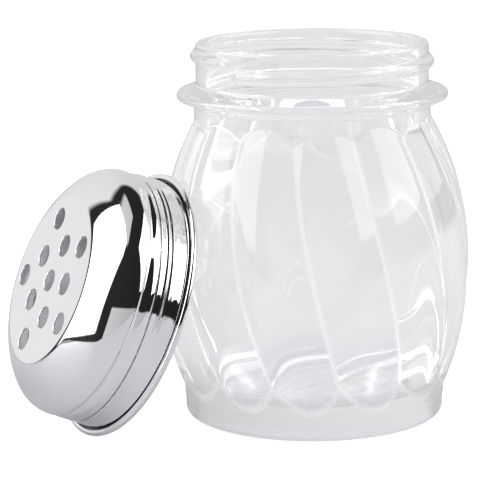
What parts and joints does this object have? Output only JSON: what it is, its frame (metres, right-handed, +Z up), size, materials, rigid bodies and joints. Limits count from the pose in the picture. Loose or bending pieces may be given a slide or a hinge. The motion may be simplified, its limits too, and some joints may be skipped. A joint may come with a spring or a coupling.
{
  "type": "cheese shaker",
  "caption": "Clear glass shaker jar with swirled barrel lobes and a threaded neck, its perforated chrome screw lid taken off and leaning against it.",
  "frame": {"origin": "centre of the jar's flat underside, on the surface that the shaker stands on", "axes": "+Z up along the jar's axis; the lid leans on the jar's -X side, its axis in an XZ plane and its perforated face looking to -X and up"},
  "size_m": [0.11, 0.0744, 0.0893],
  "materials": {
    "clear_glass": "clear, fire polished",
    "bright_chrome": "bright mirror plating"
  },
  "bodies": {
    "jar": {"jar": "clear_glass"},
    "lid": {"lid": "bright_chrome"}
  },
  "joints": [
    {"name": "lid_lift", "type": "slide", "parent": "jar", "child": "lid", "axis": [-0.9272, 0, 0.3746], "range_m": [0, 0.08]}
  ]
}
